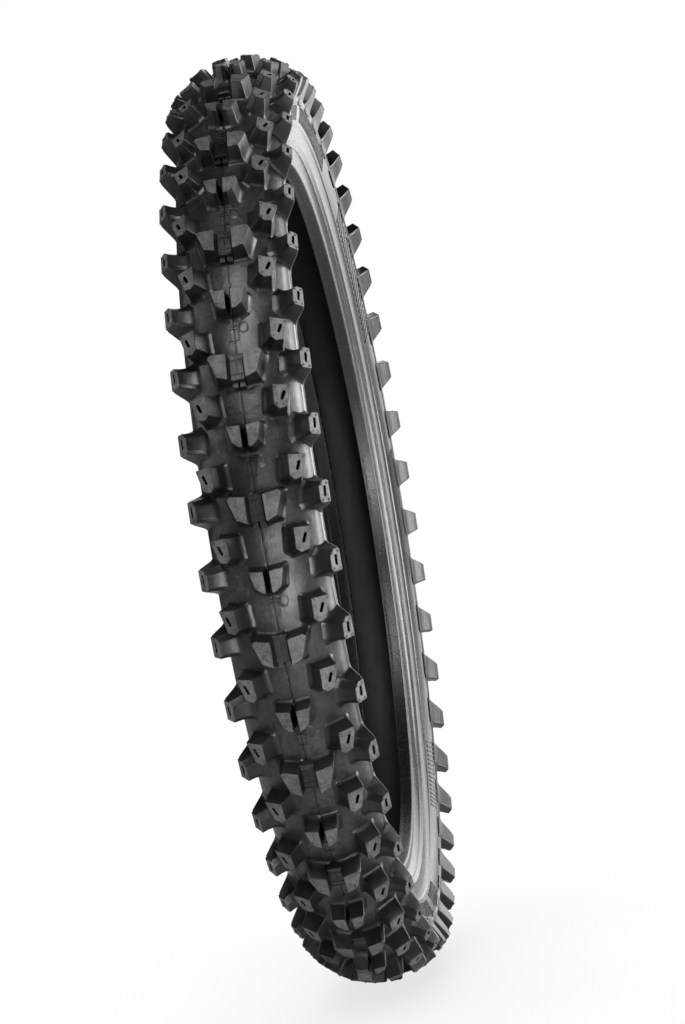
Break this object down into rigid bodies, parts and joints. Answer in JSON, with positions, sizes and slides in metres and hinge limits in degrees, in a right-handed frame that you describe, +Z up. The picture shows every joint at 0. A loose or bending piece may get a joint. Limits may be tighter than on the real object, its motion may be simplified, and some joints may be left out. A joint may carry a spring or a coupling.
{
  "type": "motorcycle tyre",
  "caption": "Bare knobbly off-road motorcycle front tyre: tall rubber blocks on a cord casing, rubber sides, a lined cavity and a wire bead each side that seats on the rim.",
  "frame": {"origin": "centre of the wheel, on the axle line and in the middle plane", "axes": "+Y along the axle, out through the right side; +Z up with the tyre standing upright; +X to the side that faces the viewer, where the pattern runs downwards"},
  "size_m": [0.7003, 0.0936, 0.7002],
  "materials": {
    "tread_rubber": "satin black",
    "side_rubber": "semi-gloss black",
    "strip_fabric": "rubbered weave",
    "liner_rubber": "matt black",
    "ply_cord": "rubbered nylon cord",
    "filler_rubber": "matt",
    "bead_wire": "bronze-plated wire"
  },
  "bodies": {
    "root": {"tread": "tread_rubber", "sidewall_right": "side_rubber", "sidewall_left": "side_rubber", "rim_strip_right": "strip_fabric", "rim_strip_left": "strip_fabric", "inner_liner": "liner_rubber", "breaker": "ply_cord", "outer_ply": "ply_cord", "inner_ply": "ply_cord", "bead_filler_right": "filler_rubber", "bead_filler_left": "filler_rubber", "bead_core_right": "bead_wire", "bead_core_left": "bead_wire"}
  },
  "joints": []
}
